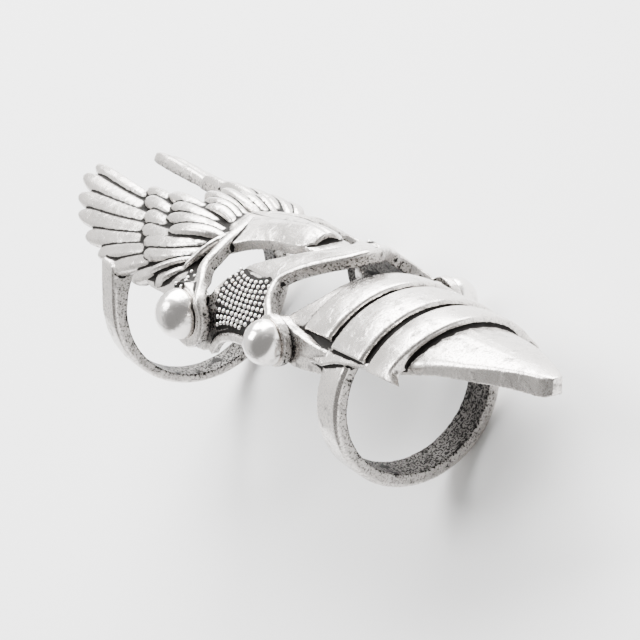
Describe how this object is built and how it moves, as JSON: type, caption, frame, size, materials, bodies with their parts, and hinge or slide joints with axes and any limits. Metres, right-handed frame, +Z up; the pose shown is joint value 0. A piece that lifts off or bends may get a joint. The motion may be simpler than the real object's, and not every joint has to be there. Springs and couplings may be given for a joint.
{
  "type": "knuckle armor ring",
  "caption": "Full-finger armor ring in antiqued metal: winged rear section, granulated link plate and pointed tip section with ridged lames, hinged on domed rivets, with a band at each end.",
  "frame": {"origin": "centre of the rear finger band", "axes": "X runs along the finger towards the nail tip, pitched 4.2 degrees down to the table; Z is up as the ring lies on its far side; the top of the finger faces +Y"},
  "size_m": [0.0951, 0.0291, 0.0285],
  "materials": {
    "casting": "cast white metal with an antique silver finish: polished high faces, dark recesses, speckled side walls",
    "rivets": "polished domes in the same antique silver finish"
  },
  "bodies": {
    "wings": {"wing_section": "casting", "rear_rivet_near": "rivets", "rear_rivet_far": "rivets"},
    "link": {"link_plate": "casting", "front_rivet_near": "rivets", "front_rivet_far": "rivets"},
    "tip": {"tip_section": "casting"}
  },
  "joints": [
    {"name": "knuckle_hinge", "type": "hinge", "parent": "wings", "child": "link", "pos_m": [0.02062, 0.00579, 0.00225], "axis": [-0.0614, 0.5446, -0.8364], "range_deg": [0, 45]},
    {"name": "fingertip_hinge", "type": "hinge", "parent": "link", "child": "tip", "pos_m": [0.03848, 0.00797, 0.00236], "axis": [-0.0614, 0.5446, -0.8364], "range_deg": [0, 45]}
  ]
}
